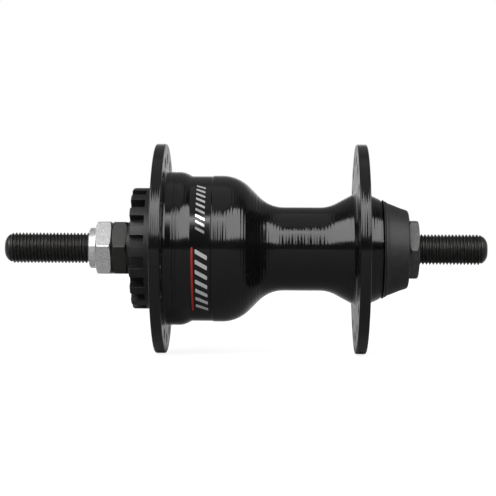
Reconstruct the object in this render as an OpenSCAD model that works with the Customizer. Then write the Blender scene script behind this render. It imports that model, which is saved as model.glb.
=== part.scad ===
// Front bicycle hub for a drum-type roller brake: a black two-flange shell on adjustable cup and
// cone bearings, with a slip clutch in the left drum that drives an 18-slot brake ring.
// The axle lies along X, the brake side is -X, +Z is up and the origin is the middle of the axle.

/* [Axle] */
// Length of the axle from end to end
axle_len = 140; // [138:1:150]
// Outside diameter of the axle's thread
thread_d = 8.85; // [8.6:0.05:9]
// Diameter of the plain shank between the two threads
shank_d = 8; // [7.6:0.1:8.1]
// Length of each rounded axle end
axle_dome = 2.4; // [1:0.1:2.8]

/* [Locknuts] */
// Outer face of the left locknut, measured from the middle of the axle
left_face = 45.4; // [45:0.1:46]
// Outer face of the right locknut, measured from the middle of the axle
right_face = 50; // [49.8:0.1:50.4]
// Width across flats of the left locknut and of the left cone
left_nut_af = 14.9; // [14.5:0.1:15]
// Width across flats of the right locknut
right_nut_af = 16.5; // [16.4:0.1:17]
// Diameter of the collar on the left locknut, which centres the brake unit
nut_collar_d = 11.8; // [11:0.1:12]

/* [Hub shell] */
// Diameter of both spoke flanges
flange_d = 60.9; // [58:0.1:62]
// Thickness of both spoke flanges
flange_t = 3.1; // [3:0.1:3.2]
// Middle of the left flange, left of the middle of the axle
left_flange = 24.4; // [24.3:0.1:24.6]
// Middle of the right flange, right of the middle of the axle
right_flange = 33.45; // [33.25:0.05:33.6]
// Diameter of the drum beside the left flange
drum_d = 44.6; // [43.6:0.2:45]
// Diameter of the shallow band round the drum
band_d = 42.1; // [41.6:0.1:42.2]
// Diameter of the slim barrel
barrel_d = 24.3; // [23.5:0.1:24.6]

/* [Spoke holes] */
// Number of spoke holes in each flange
spoke_holes = 18; // [14:2:20]
// Diameter of the circle through the spoke holes
spoke_pcd = 52; // [51:0.5:54]
// Diameter of each spoke hole
spoke_hole_d = 2.9; // [2.5:0.1:3]

/* [Brake ring] */
// Outside diameter of the slotted brake ring
ring_d = 35.2; // [34.6:0.1:35.6]
// Number of slots round the brake ring
ring_slots = 18; // [16:1:20]
// Width of each slot
slot_w = 3.3; // [2.6:0.1:3.4]
// Depth of each slot
slot_depth = 2.8; // [2:0.1:3]

/* [Bearings] */
// Diameter of each bearing ball
ball_d = 4.76; // [4.5:0.02:4.8]
// Number of balls in each bearing
ball_count = 9; // [7:1:9]
// Diameter of the circle through the ball centres
ball_pcd = 16.8; // [16.7:0.1:17]

/* [Slip clutch] */
// Number of plates keyed to the shell
outer_plates = 4; // [2:1:4]
// Thickness of each plate keyed to the shell
outer_plate_t = 1.2; // [1:0.1:1.2]
// Thickness of each lined plate on the brake ring's sleeve
inner_plate_t = 1.8; // [1.4:0.1:1.8]

/* [Hidden] */

$fn = 96;
hole_fn = 32;
eps = 0.01;
over = 1;                               // how far a cutting shape reaches past what it cuts

// Axle and nuts
thread_r = thread_d / 2;
half_axle = axle_len / 2;
thread_run = 47;                        // threaded length at each end of the axle
seat_r = thread_r - 0.32;               // pitch radius of the thread, where the nuts and cones bear
shank_taper = 0.6;
axle_end = [                            // [radius, distance from the end] over the rounded end
    [thread_r - 2, 0],
    [thread_r - 0.9, 0.2 * axle_dome],
    [thread_r - 0.25, 0.62 * axle_dome],
    [thread_r, axle_dome]
];
left_collar_len = 2.2;
collar_chamfer = 0.6;
left_hex_len = 4.5;
left_hex_x = -left_face + left_collar_len;
nut_gap = 0.2;                          // seam between the left locknut and the cone
cone_hex_x = left_hex_x + left_hex_len + nut_gap;
cone_hex_len = 4.3;
right_hex_len = 2.9;
right_hex_x = right_face - right_hex_len;
nut_shoulder_len = 1.9;
nut_shoulder_r = 7.8;
washer_t = 1;
washer_r = 6.9;
washer_x = right_hex_x - nut_shoulder_len - washer_t;
nut_bore_r = seat_r + 0.04;
nut_mouth_r = thread_r + 0.15;          // countersink round the thread at each nut's outer face
nut_mouth_depth = 0.5;
nut_face_in = 0.2;                      // from the flats in to the edge of a chamfered nut face
nut_chamfer = 30;
nut_turn = -3;                          // how far each hexagon's front corner is turned from -Y
cone_turn = -2;
right_nut_turn = 2;

// Shell, from left to right
flange_r = flange_d / 2;
rim_round = 0.5;
left_outer = -left_flange - flange_t / 2;
left_inner = -left_flange + flange_t / 2;
right_inner = right_flange - flange_t / 2;
right_outer = right_flange + flange_t / 2;
flange_fillet = 0.8;
drum_r = drum_d / 2;
drum_ease = [[drum_r, -18.8], [drum_r - 0.2, -17.6], [drum_r - 0.65, -16.5]];  // how it slopes to the band
band_r = band_d / 2;
band_left = -15.4;
band_right = -9.5;
band_step = 0.3;
bowl_r = band_r + 0.2;                  // drum just right of the band
bowl_x = -6.7;                          // where the drum starts to curve inwards
bowl_bend = 11;                         // radius of that convex curve
barrel_r = barrel_d / 2;
waist_bend = 10;                        // concave curves at both ends of the barrel
slope = 45;                             // steepest slope between the drum and the barrel
bowl_end = [bowl_r - bowl_bend * (1 - cos(slope)), bowl_x + bowl_bend * sin(slope)];
waist_start_r = barrel_r + waist_bend * (1 - cos(slope));
waist_x = bowl_end[1] + bowl_end[0] - waist_start_r + waist_bend * sin(slope);
flare_x = 21.5;                         // where the barrel starts to flare
flare_slope = 28.5;
flare_end = [barrel_r + waist_bend * (1 - cos(flare_slope)), flare_x + waist_bend * sin(flare_slope)];
flare_stop = right_inner - 0.8;
flare_foot_r = 17;
collar_r = 16.1;                        // collar beside the right flange
collar_fillet = [0.5, 0.3];
shell_end = 39.15;
shell_end_r = 14.2;
shell_lip = [[0.45, 0.6], [0.25, 0.3]];  // [height, distance from the end] of its steps
bore_r = 9;                             // bore through the barrel

// Bearings
ball_r = ball_d / 2;
pitch_r = ball_pcd / 2;
race_r = ball_r + 0.04;                 // radius of the groove that the balls run in
left_race = -23.5;
right_race = 36.1;
cup_r = 11.8;
cup_bore_r = 7.4;
cup_in = 3.6;                           // from the ball centre to the cup's inner end
cup_out = 2.9;                          // from the ball centre to the cup's open end
cup_lip = 0.6;                          // from the ball centre to where the cup's mouth widens
cup_mouth_r = pitch_r + ball_r - 0.1;
cone_r = 7.3;
cone_nose = 0.5;                        // how far a cone reaches past the ball centre
cone_flats_x = 41.8;
cone_half_flats = 6.5;                  // half the width across the right cone's two flats
retainer_in_r = pitch_r - 0.65;
retainer_out_r = pitch_r + 1.9;
retainer_near = 0.3;                    // from the ball centre to the retainer's two faces
retainer_far = 2.7;
retainer_gap = 0.12;

// Slip clutch
chamber_r = 18.3;
chamber_left = -24.2;
chamber_right = -6.3;
chamber_floor = -3;
spring_seat_r = 15.8;                   // inner edge of the ledge that the springs press on
carrier_r = 13;                         // tube that holds the left cup and guides the sleeve
carrier_left = -27;
keyways = 6;
key_w = 4;
key_r = 19.4;
key_gap = 0.15;                         // clearance on each side of a plate's tab
keyway_end = chamber_right - 2;
cover_seat_r = 19.6;
groove_r = 20.2;
groove_w = 0.5;
cover_t = 1;
plate_gap = 0.05;
plate_in_r = 16.2;
plate_out_r = chamber_r - 0.2;
tab_root_r = 17;
lined_in_r = 15.15;
lined_out_r = chamber_r - 0.4;
sleeve_r = 15;
sleeve_bore_r = 13.6;
spline_r = 15.9;
spline_w = 2.6;
spline_gap = 0.1;                       // clearance on each side of a spline
spline_left = chamber_left + 0.4;
spline_root = 0.5;                      // how deep a spline is rooted in the sleeve
cover_bore_r = spline_r + 0.25;
seal_gap = 0.1;
snap_in_r = cover_seat_r - 1.2;
snap_out_r = groove_r - 0.1;
snap_split = 4;                         // gap between the two ends of the retaining ring
run_gap = 0.05;                         // between parts that turn on each other
plates_x = chamber_left + plate_gap;
pair_pitch = outer_plate_t + inner_plate_t + 2 * plate_gap;
pressure_x = plates_x + (outer_plates - 1) * pair_pitch + outer_plate_t + plate_gap;
pressure_t = 2;
spring_x = pressure_x + pressure_t + plate_gap;
spring_t = 0.8;
spring_in_r = 16.3;
spring_out_r = 18;
spring_run = chamber_right - plate_gap - spring_x;

// Brake ring
ring_r = ring_d / 2;
ring_left = -32.6;
slot_end = -28.4;
first_slot = 3.4;                       // angle of the first slot from +Z
ring_right = -26.5;
tooth_chamfer = 0.4;
ring_chamfer = 0.3;
sleeve_end = -9.5;
bush_left = carrier_left + 0.5;
cap_seat_r = 11.5;
cap_seat_x = -30.6;
ring_bore_r = 9.8;
carrier_room_x = -28;

// Left dust cap
cap_tube_r = 7.6;
cap_r = 11.1;
cap_left = ring_left + 0.4;
cap_right = ring_left + 1.5;

// Right dust cover
seal_left = 39.45;
seal_right = 40.05;
seal_in_r = 12.2;
seal_rim_r = 14.4;
seal_edge_r = seal_rim_r - 0.25;
seal_ridge_x = 39.75;
foot_r = 14;
foot_top = [13.6, 40.95];               // [radius, x] where the cover's foot ends and its cone starts
cone_start = [13.15, 41.95];
cover_top_r = 11.4;
cover_right = 47.05;
cover_chamfer = 0.4;
cover_lip = 1.5;                        // depth of the lip that grips the locknut's shoulder
cover_hollow = [[9.4, 45.3], [11.5, 41.1]];

// Points on an arc in the [radius, x] plane, from angle a0 to a1
function arc(centre, r, a0, a1, steps) =
    [for (i = [0:steps]) let (a = a0 + (a1 - a0) * i / steps) centre + r * [cos(a), sin(a)]];

// Turns the Z axis onto X
module along_x() rotate([0, 90, 0]) children();

// Solid of revolution about X from an outline of [radius, x] points
module turned(points) along_x() rotate_extrude() polygon(points);

// Plain ring about X
module ring(x0, x1, r_in, r_out)
    turned([[r_in, x0], [r_out, x0], [r_out, x1], [r_in, x1]]);

// Copies its children in n equal steps about X
module round_x(n, start = 0) for (i = [0:n - 1]) rotate([start + i * 360 / n, 0, 0]) children();

// Hexagonal prism about X with its front corner turned from -Y, and its corners turned off at chosen ends
module hex_nut(x0, x1, af, turn, chamfer_left, chamfer_right) {
    corner_r = af / sqrt(3);
    face_r = af / 2 - nut_face_in;
    cut = (corner_r - face_r + over) * tan(nut_chamfer);
    intersection() {
        translate([x0, 0, 0]) rotate([turn, 0, 0]) along_x() rotate([0, 0, 90])
            cylinder(r = corner_r, h = x1 - x0, $fn = 6);
        turned([
            [0, x0],
            [chamfer_left ? face_r : corner_r + over, x0],
            [corner_r + over, x0 + (chamfer_left ? cut : 0)],
            [corner_r + over, x1 - (chamfer_right ? cut : 0)],
            [chamfer_right ? face_r : corner_r + over, x1],
            [0, x1]
        ]);
    }
}

// Space inside a nut, from an inner x to the countersunk outer face; side is -1 or 1
module nut_bore(inner_x, face_x, side) turned([
    [0, inner_x],
    [nut_bore_r, inner_x],
    [nut_bore_r, face_x - side * nut_mouth_depth],
    [nut_mouth_r, face_x - side * eps],
    [nut_mouth_r, face_x + side],
    [0, face_x + side]
]);

// Axle with a rounded end on each thread and a plain shank between them
module axle() color([0.16, 0.15, 0.14]) turned(concat(
    [[0, -half_axle]],
    [for (p = axle_end) [p[0], p[1] - half_axle]],
    [[thread_r, -left_face], [seat_r, -left_face], [seat_r, thread_run - half_axle]],
    [[shank_d / 2, thread_run + shank_taper - half_axle]],
    [[shank_d / 2, half_axle - thread_run - shank_taper]],
    [[seat_r, half_axle - thread_run], [seat_r, right_face], [thread_r, right_face]],
    [for (i = [len(axle_end) - 1:-1:0]) [axle_end[i][0], half_axle - axle_end[i][1]]],
    [[0, half_axle]]
));

// Bright hexagon nut with a round collar on its outer side
module left_locknut() color([0.8, 0.8, 0.8]) difference() {
    union() {
        turned([
            [0, -left_face],
            [nut_collar_d / 2 - collar_chamfer, -left_face],
            [nut_collar_d / 2, -left_face + collar_chamfer],
            [nut_collar_d / 2, left_hex_x + eps],
            [0, left_hex_x + eps]
        ]);
        hex_nut(left_hex_x, left_hex_x + left_hex_len, left_nut_af, nut_turn, true, false);
    }
    nut_bore(left_hex_x + left_hex_len + over, -left_face, -1);
}

// Outline of a cone's race: neck, then the groove that the balls roll in; side is -1 or 1
module race_cone(race_x, side, back_x) difference() {
    ring(min(race_x - side * cone_nose, back_x), max(race_x - side * cone_nose, back_x), nut_bore_r, cone_r);
    along_x() rotate_extrude() translate([pitch_r, race_x]) circle(r = race_r);
}

// Left bearing cone with the hexagon that the cone spanner turns
module left_cone() color([0.13, 0.13, 0.12]) {
    difference() {
        hex_nut(cone_hex_x, cone_hex_x + cone_hex_len, left_nut_af, cone_turn, true, false);
        ring(cone_hex_x - over, cone_hex_x + cone_hex_len + over, 0, nut_bore_r);
    }
    race_cone(left_race, -1, cone_hex_x + cone_hex_len);
}

// Rubber cap on the left cone that closes the mouth of the brake ring
module left_dust_cap() color([0.1, 0.1, 0.1]) turned([
    [cone_r, cone_hex_x + cone_hex_len],
    [cap_tube_r, cone_hex_x + cone_hex_len],
    [cap_tube_r, cap_left],
    [cap_r, cap_left],
    [cap_r, cap_right],
    [cone_r, cap_right]
]);

// Right bearing cone with two flats for a thin spanner
module right_cone() color([0.55, 0.55, 0.56]) difference() {
    race_cone(right_race, 1, washer_x);
    for (side = [0, 180])
        rotate([side, 0, 0])
            translate([cone_flats_x, cone_half_flats, -cone_r - over])
                cube([washer_x - cone_flats_x + over, cone_r, 2 * (cone_r + over)]);
}

// Lock washer between the right cone and its locknut
module right_lock_washer() color([0.6, 0.6, 0.62])
    ring(washer_x, washer_x + washer_t, nut_bore_r, washer_r);

// Right locknut: a thin hexagon with a round shoulder inside the dust cover
module right_locknut() color([0.2, 0.2, 0.2]) difference() {
    union() {
        hex_nut(right_hex_x, right_face, right_nut_af, right_nut_turn, false, true);
        ring(right_hex_x - nut_shoulder_len, right_hex_x + eps, 0, nut_shoulder_r);
    }
    nut_bore(right_hex_x - nut_shoulder_len - over, right_face, 1);
}

// Tapered rubber dust cover over the right bearing
module right_dust_cover() color([0.14, 0.14, 0.14]) turned(concat(
    [[seal_in_r, seal_right], [foot_r, seal_right], foot_top, cone_start],
    [[cover_top_r, cover_right - cover_chamfer], [cover_top_r - cover_chamfer, cover_right]],
    [[nut_shoulder_r, cover_right], [nut_shoulder_r, cover_right - cover_lip]],
    cover_hollow
));

// Thin rubber lip that shields the gap between the shell and the dust cover
module right_seal_ring() color([0.04, 0.04, 0.04]) turned([
    [seal_in_r, seal_left],
    [seal_edge_r, seal_left],
    [seal_rim_r, seal_ridge_x],
    [seal_edge_r, seal_right],
    [seal_in_r, seal_right]
]);

// Rounded rim of a spoke flange between x0 and x1
function rim(x0, x1) = concat(
    arc([flange_r - rim_round, x0 + rim_round], rim_round, -90, 0, 4),
    arc([flange_r - rim_round, x1 - rim_round], rim_round, 0, 90, 4)
);

// Outside of the shell, from the left flange to the right end
function shell_outside() = concat(
    rim(left_outer, left_inner),
    arc([drum_r + flange_fillet, left_inner + flange_fillet], flange_fillet, 270, 180, 4),
    drum_ease,
    [[band_r, band_left], [band_r, band_right], [bowl_r, band_right + band_step]],
    arc([bowl_r - bowl_bend, bowl_x], bowl_bend, 0, slope, 12),
    arc([barrel_r + waist_bend, waist_x], waist_bend, 180 + slope, 180, 10),
    arc([barrel_r + waist_bend, flare_x], waist_bend, 180, 180 - flare_slope, 8),
    [[flare_end[0] + (flare_stop - flare_end[1]) * tan(flare_slope), flare_stop]],
    [[flare_foot_r, right_inner]],
    rim(right_inner, right_outer),
    [[collar_r + collar_fillet[0], right_outer], [collar_r, right_outer + collar_fillet[1]]],
    [for (step = shell_lip) [shell_end_r + step[0], shell_end - step[1]]],
    [[shell_end_r, shell_end]]
);

// Inside of the shell, from the right end back to the left flange
function shell_inside() = [
    [cup_r, shell_end],
    [cup_r, right_race - cup_in],
    [bore_r, right_race - cup_in],
    [bore_r, left_race + cup_in],
    [cup_r, left_race + cup_in],
    [cup_r, carrier_left],
    [carrier_r, carrier_left],
    [carrier_r, chamber_floor],
    [spring_seat_r, chamber_floor],
    [spring_seat_r, chamber_right],
    [chamber_r, chamber_right],
    [chamber_r, chamber_left],
    [cover_seat_r, chamber_left],
    [cover_seat_r, chamber_left - cover_t],
    [groove_r, chamber_left - cover_t],
    [groove_r, chamber_left - cover_t - groove_w],
    [cover_seat_r, chamber_left - cover_t - groove_w],
    [cover_seat_r, left_outer]
];

// Spoke holes through one flange
module spoke_drill(x, start) round_x(spoke_holes, start)
    translate([x, 0, spoke_pcd / 2])
        along_x() cylinder(d = spoke_hole_d, h = flange_t + 2 * over, center = true, $fn = hole_fn);

// One-piece shell: two flanges, drum, barrel and the seats of both bearing cups
module hub_shell() color([0.03, 0.03, 0.03]) difference() {
    turned(concat(shell_outside(), shell_inside()));
    spoke_drill(-left_flange, 0);
    spoke_drill(right_flange, 180 / spoke_holes);
    round_x(keyways)
        translate([chamber_left - eps, -key_w / 2, chamber_r - over])
            cube([keyway_end - chamber_left, key_w, key_r - chamber_r + over]);
}

// Pressed steel cup; side is -1 for an opening towards -X and 1 towards +X
module bearing_cup(race_x, side) difference() {
    ring(min(race_x - side * cup_in, race_x + side * cup_out),
         max(race_x - side * cup_in, race_x + side * cup_out), cup_bore_r, cup_r);
    along_x() rotate_extrude() translate([pitch_r, race_x]) circle(r = race_r);
    ring(min(race_x + side * cup_lip, race_x + side * (cup_out + over)),
         max(race_x + side * cup_lip, race_x + side * (cup_out + over)), cup_bore_r - over, cup_mouth_r);
}

module left_bearing_cup() color([0.62, 0.62, 0.64]) bearing_cup(left_race, -1);

module right_bearing_cup() color([0.62, 0.62, 0.64]) bearing_cup(right_race, 1);

// Places its children at each ball centre of one bearing
module at_balls(race_x) round_x(ball_count) translate([race_x, 0, pitch_r]) children();

// Ring that spaces the balls, open on the side towards the middle of the hub
module ball_retainer(race_x, side) difference() {
    ring(min(race_x + side * retainer_near, race_x + side * retainer_far),
         max(race_x + side * retainer_near, race_x + side * retainer_far), retainer_in_r, retainer_out_r);
    at_balls(race_x) sphere(r = ball_r + retainer_gap);
}

module left_ball_retainer() color([0.7, 0.62, 0.35]) ball_retainer(left_race, -1);

module right_ball_retainer() color([0.7, 0.62, 0.35]) ball_retainer(right_race, 1);

module left_balls() color([0.85, 0.85, 0.87]) at_balls(left_race) sphere(r = ball_r);

module right_balls() color([0.85, 0.85, 0.87]) at_balls(right_race) sphere(r = ball_r);

// Steel plates with tabs in the shell's keyways
module outer_clutch_plates() color([0.5, 0.5, 0.52])
    for (i = [0:outer_plates - 1]) keyed_plate(plates_x + i * pair_pitch, outer_plate_t);

// One flat plate with a tab in each keyway of the shell
module keyed_plate(x, t) {
    ring(x, x + t, plate_in_r, plate_out_r);
    round_x(keyways)
        translate([x, -key_w / 2 + key_gap, tab_root_r])
            cube([t, key_w - 2 * key_gap, key_r - 2 * key_gap - tab_root_r]);
}

// Lined plates with inner tabs between the splines of the brake ring's sleeve
module inner_clutch_plates() color([0.35, 0.22, 0.14])
    for (i = [0:outer_plates - 2])
        translate([plates_x + outer_plate_t + plate_gap + i * pair_pitch, 0, 0]) difference() {
            ring(0, inner_plate_t, lined_in_r, lined_out_r);
            round_x(keyways, 180 / keyways)
                translate([-over, -spline_w / 2 - spline_gap, sleeve_r - over])
                    cube([inner_plate_t + 2 * over, spline_w + 2 * spline_gap,
                          spline_r - sleeve_r + over + 2 * spline_gap]);
        }

// Thick keyed plate that spreads the springs' load over the stack
module clutch_pressure_plate() color([0.45, 0.45, 0.47]) keyed_plate(pressure_x, pressure_t);

// Two conical washers back to back that press the plates together
module clutch_disc_springs() color([0.3, 0.32, 0.36]) {
    half_run = spring_run / 2;
    rise = half_run - spring_t;
    turned([
        [spring_in_r, spring_x],
        [spring_out_r, spring_x + rise],
        [spring_out_r, spring_x + half_run],
        [spring_in_r, spring_x + spring_t]
    ]);
    turned([
        [spring_out_r, spring_x + half_run + eps],
        [spring_out_r, spring_x + half_run + spring_t],
        [spring_in_r, spring_x + spring_run],
        [spring_in_r, spring_x + half_run + rise]
    ]);
}

// Flat cover that closes the clutch chamber round the sleeve
module clutch_cover() color([0.05, 0.05, 0.05])
    ring(chamber_left - cover_t, chamber_left, cover_bore_r, cover_seat_r);

// Split spring ring in the shell's groove that holds the cover
module clutch_retaining_ring() color([0.25, 0.25, 0.27]) difference() {
    ring(chamber_left - cover_t - groove_w + plate_gap, chamber_left - cover_t - plate_gap,
         snap_in_r, snap_out_r);
    translate([left_outer, -snap_split / 2, snap_in_r - over])
        cube([chamber_left - left_outer, snap_split, snap_out_r - snap_in_r + 2 * over]);
}

// Rubber ring between the cover and the turning sleeve
module clutch_seal_ring() color([0.03, 0.03, 0.03])
    ring(chamber_left - cover_t + seal_gap, chamber_left - seal_gap, sleeve_r + run_gap, cover_bore_r);

// Slotted ring that the brake's rotor slides onto, with the sleeve that carries the lined plates
module brake_ring() color([0.07, 0.07, 0.07]) {
    difference() {
        turned([
            [cap_seat_r, ring_left],
            [ring_r - tooth_chamfer, ring_left],
            [ring_r, ring_left + tooth_chamfer],
            [ring_r, ring_right - ring_chamfer],
            [ring_r - ring_chamfer, ring_right],
            [sleeve_r, ring_right],
            [sleeve_r, sleeve_end],
            [sleeve_bore_r, sleeve_end],
            [sleeve_bore_r, carrier_room_x],
            [ring_bore_r, carrier_room_x],
            [ring_bore_r, cap_seat_x],
            [cap_seat_r, cap_seat_x]
        ]);
        round_x(ring_slots, first_slot)
            translate([ring_left - over, -slot_w / 2, ring_r - slot_depth])
                cube([slot_end - ring_left + over, slot_w, slot_depth + over]);
    }
    round_x(keyways, 180 / keyways)
        translate([spline_left, -spline_w / 2, sleeve_r - spline_root])
            cube([sleeve_end - spline_left, spline_w, spline_r - sleeve_r + spline_root]);
}

// Plain bush between the sleeve and the tube that holds the left cup
module drive_bush() color([0.6, 0.42, 0.2])
    ring(bush_left, sleeve_end, carrier_r + run_gap, sleeve_bore_r);

axle();
left_locknut();
left_cone();
left_dust_cap();
right_cone();
right_lock_washer();
right_locknut();
right_dust_cover();
right_seal_ring();
hub_shell();
left_bearing_cup();
right_bearing_cup();
outer_clutch_plates();
clutch_pressure_plate();
clutch_disc_springs();
clutch_cover();
clutch_retaining_ring();
clutch_seal_ring();
brake_ring();
drive_bush();
inner_clutch_plates();
left_ball_retainer();
left_balls();
right_ball_retainer();
right_balls();
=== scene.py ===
# Looks of a black front hub for a roller brake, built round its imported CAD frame.
# X runs along the axle, the brake side is -X and +Z is up. Shapes are written in millimetres and
# meshes are scaled to metres when they are made. Angles about the axle start at +Z and turn to -Y.
import math

import bmesh
import bpy
from mathutils import Matrix, Vector, noise


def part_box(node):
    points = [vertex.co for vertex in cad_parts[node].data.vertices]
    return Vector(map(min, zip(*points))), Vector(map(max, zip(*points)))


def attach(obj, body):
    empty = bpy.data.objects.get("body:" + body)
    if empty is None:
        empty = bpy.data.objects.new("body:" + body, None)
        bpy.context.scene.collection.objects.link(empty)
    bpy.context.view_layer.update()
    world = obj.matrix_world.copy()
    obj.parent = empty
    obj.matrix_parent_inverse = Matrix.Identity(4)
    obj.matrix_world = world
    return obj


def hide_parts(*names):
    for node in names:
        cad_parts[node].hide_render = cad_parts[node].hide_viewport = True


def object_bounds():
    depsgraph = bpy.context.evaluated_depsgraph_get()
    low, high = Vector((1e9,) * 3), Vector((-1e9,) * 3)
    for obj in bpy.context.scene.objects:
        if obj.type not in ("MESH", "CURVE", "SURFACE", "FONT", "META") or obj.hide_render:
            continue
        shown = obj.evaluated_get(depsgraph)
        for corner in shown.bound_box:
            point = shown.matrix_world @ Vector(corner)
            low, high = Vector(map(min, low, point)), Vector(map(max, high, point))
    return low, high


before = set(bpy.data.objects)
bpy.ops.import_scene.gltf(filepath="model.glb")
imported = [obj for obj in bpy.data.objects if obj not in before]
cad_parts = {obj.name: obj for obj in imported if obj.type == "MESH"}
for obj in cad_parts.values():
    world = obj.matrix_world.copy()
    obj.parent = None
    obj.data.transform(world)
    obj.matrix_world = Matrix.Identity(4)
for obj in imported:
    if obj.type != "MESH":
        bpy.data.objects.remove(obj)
cad_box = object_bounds()
scene = bpy.context.scene
MM = 0.001
TURN = 2 * math.pi
COLUMNS = 144  # steps round a turned part
WELD = 1e-4  # points closer than this become one, in millimetres
TINY = 1e-6


def span(node):
    """Left end, right end and largest radius of a CAD node, in millimetres."""
    low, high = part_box(node)
    return low[0] / MM, high[0] / MM, max(high[1], high[2]) / MM


# ---------------------------------------------------------------- camera and light

CAMERA_BACK = 0.449  # from the axle to the lens, in metres
VIEW_WIDTH = 0.14447  # what the frame takes in at the axle, in metres
LENS_X, LENS_Z = 0.00995, 0.00023  # how far right of the hub's middle and above it the lens is, in metres
AIM_X, AIM_Z = 0.00069, 0.00022  # the point at the axle that it looks at, in metres
CAMERA_ROLL = 0.005  # in radians
SENSOR_WIDTH = 36  # in millimetres
WHITE, FILL = 1.0, 0.3  # the world as the camera sees it, and as it lights matt surfaces
BACKDROP, BACKDROP_FALL = 0.85, 0.65  # mirrored low behind the object, and how much is lost higher up
CEILING, FRONT = 0.42, 0.01  # mirrored overhead, and added from every side
FLOOR_REACH, FLOOR_DROP, FLOOR_PAINT = 3.0, 0.0002, 0.6
FLOOR_GLOW, FLOOR_GLOW_RISE = 0.86, 0.14  # seen glow near the object, and what is added far from it
FLOOR_MIRRORED = 0.35  # glow behind the object in reflections


def make_camera():
    """Looks at the hub's middle from the front, with the lens a little to the right of it."""
    camera = bpy.data.objects.new("camera", bpy.data.cameras.new("camera"))
    scene.collection.objects.link(camera)
    camera.location = (LENS_X, -CAMERA_BACK, LENS_Z)
    aim = Vector((AIM_X, 0, AIM_Z)) - camera.location
    level = aim.to_track_quat("-Z", "Y").to_matrix()
    camera.rotation_euler = (level @ Matrix.Rotation(CAMERA_ROLL, 3, "Z")).to_euler()
    camera.data.sensor_width = SENSOR_WIDTH
    camera.data.lens = SENSOR_WIDTH * CAMERA_BACK / VIEW_WIDTH
    scene.camera = camera


def soft_box(name, azimuth, elevation, distance, width, height, radiance, mirrored):
    """Rectangular studio light that faces the object; azimuth 0 is the camera's side. A mirrored one
    makes highlights only, and another lights matt surfaces only."""
    data = bpy.data.lights.new(name, "AREA")
    data.shape = "RECTANGLE"
    data.size = width
    data.size_y = height
    data.energy = radiance * math.pi * width * height
    light = bpy.data.objects.new(name, data)
    a, e = math.radians(azimuth), math.radians(elevation)
    light.location = distance * Vector(
        (math.sin(a) * math.cos(e), -math.cos(a) * math.cos(e), math.sin(e)))
    light.rotation_euler = (-light.location).to_track_quat("-Z", "Y").to_euler()
    light.visible_camera = False
    light.visible_glossy = mirrored
    light.visible_diffuse = not mirrored
    scene.collection.objects.link(light)


def smooth_range(nodes, links, value, start, end):
    """Node that rises smoothly from 0 to 1 while value goes from start to end."""
    ramp = nodes.new("ShaderNodeMapRange")
    ramp.interpolation_type = "SMOOTHSTEP"
    ramp.inputs["From Min"].default_value = start
    ramp.inputs["From Max"].default_value = end
    links.new(value, ramp.inputs["Value"])
    return ramp.outputs["Result"]


def combined(nodes, links, operation, a, b):
    """Math node that joins two values or sockets."""
    result = nodes.new("ShaderNodeMath")
    result.operation = operation
    for socket, value in zip(result.inputs, (a, b)):
        if isinstance(value, (int, float)):
            socket.default_value = value
        else:
            links.new(value, socket)
    return result.outputs["Value"]


def make_world():
    """White studio: white behind everything, an even fill, and for reflections a backdrop that is
    white low behind the object, a paler ceiling and a dark opening in front, where the camera is."""
    world = bpy.data.worlds.new("studio")
    scene.world = world
    world.use_nodes = True
    nodes, links = world.node_tree.nodes, world.node_tree.links
    nodes.clear()
    out = nodes.new("ShaderNodeOutputWorld")
    path = nodes.new("ShaderNodeLightPath")
    shades = []
    for strength in (WHITE, FILL, 0.0):
        shade = nodes.new("ShaderNodeBackground")
        shade.inputs["Color"].default_value = (1, 1, 1, 1)
        shade.inputs["Strength"].default_value = strength
        shades.append(shade)
    white, fill, mirror = shades
    direction = nodes.new("ShaderNodeTexCoord")
    split = nodes.new("ShaderNodeSeparateXYZ")
    links.new(direction.outputs["Generated"], split.inputs["Vector"])
    behind = smooth_range(nodes, links, split.outputs["Y"], 0.1, 0.5)
    overhead = smooth_range(nodes, links, split.outputs["Z"], 0.8, 0.95)
    high = smooth_range(nodes, links, split.outputs["Z"], 0.15, 0.5)
    lost = combined(nodes, links, "MULTIPLY", high, BACKDROP_FALL)
    dimmed = combined(nodes, links, "SUBTRACT", BACKDROP, lost)
    backdrop = combined(nodes, links, "MULTIPLY", behind, dimmed)
    ceiling = combined(nodes, links, "MULTIPLY", overhead, CEILING)
    tent = combined(nodes, links, "MAXIMUM", backdrop, ceiling)
    links.new(combined(nodes, links, "ADD", tent, FRONT), mirror.inputs["Strength"])
    reflect = nodes.new("ShaderNodeMixShader")
    links.new(path.outputs["Is Glossy Ray"], reflect.inputs["Fac"])
    links.new(fill.outputs["Background"], reflect.inputs[1])
    links.new(mirror.outputs["Background"], reflect.inputs[2])
    seen = nodes.new("ShaderNodeMixShader")
    links.new(path.outputs["Is Camera Ray"], seen.inputs["Fac"])
    links.new(reflect.outputs["Shader"], seen.inputs[1])
    links.new(white.outputs["Background"], seen.inputs[2])
    links.new(seen.outputs["Shader"], out.inputs["Surface"])


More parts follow.
